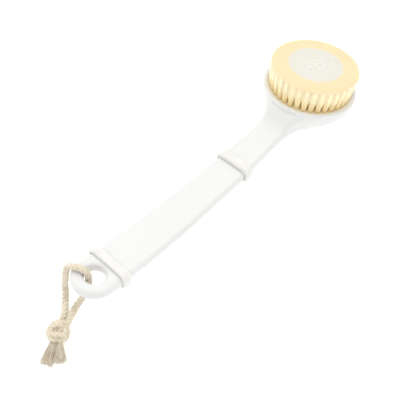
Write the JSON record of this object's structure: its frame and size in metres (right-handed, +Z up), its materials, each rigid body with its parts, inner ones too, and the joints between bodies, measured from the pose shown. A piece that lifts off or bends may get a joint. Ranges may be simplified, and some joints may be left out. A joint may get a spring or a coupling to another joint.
{
  "type": "body dry brush",
  "caption": "Long curved one-piece handle with a round bristle head, two soft silicone rings and a knotted cotton hanging loop through the eye at its tail.",
  "frame": {"origin": "on the surface the brush lies on, under the middle of the handle and head together", "axes": "+X from the tail eye to the bristle head, +Z up, the way the bristles point; +Y completes the frame"},
  "size_m": [0.4071, 0.0946, 0.0565],
  "materials": {
    "white_plastic": "satin moulded",
    "plate_plastic": "satin moulded",
    "yellow_bristle": "fine nylon filaments",
    "white_bristle": "fine nylon filaments",
    "silicone": "translucent, soft sheen",
    "staple_wire": "drawn",
    "cotton": "undyed twisted cotton"
  },
  "bodies": {
    "brush": {"handle_body": "white_plastic", "bristle_plate": "plate_plastic", "tufts_outer": "yellow_bristle", "tufts_second": "yellow_bristle", "tufts_third": "yellow_bristle", "tufts_fourth": "white_bristle", "tufts_fifth": "white_bristle", "tufts_sixth": "white_bristle", "tufts_seventh": "white_bristle", "tufts_middle": "white_bristle", "staples_yellow": "staple_wire", "staples_grey": "staple_wire"},
    "neck_ring": {"neck_ring": "silicone"},
    "tail_ring": {"tail_ring": "silicone"},
    "hanging_loop": {"hang_cord": "cotton", "cord_knot": "cotton", "cord_end_a": "cotton", "cord_end_b": "cotton"}
  },
  "joints": [
    {"name": "neck_ring_slide", "type": "slide", "parent": "brush", "child": "neck_ring", "axis": [1, 0, 0], "range_m": [0, 0.028]},
    {"name": "tail_ring_slide", "type": "slide", "parent": "brush", "child": "tail_ring", "axis": [0.9752, 0, -0.2212], "range_m": [-0.003, 0.002]},
    {"name": "loop_swing", "type": "hinge", "parent": "brush", "child": "hanging_loop", "pos_m": [-0.15819, 0, 0.0324], "axis": [0.2419, 0, 0.9703], "range_deg": [-25, 30]}
  ]
}
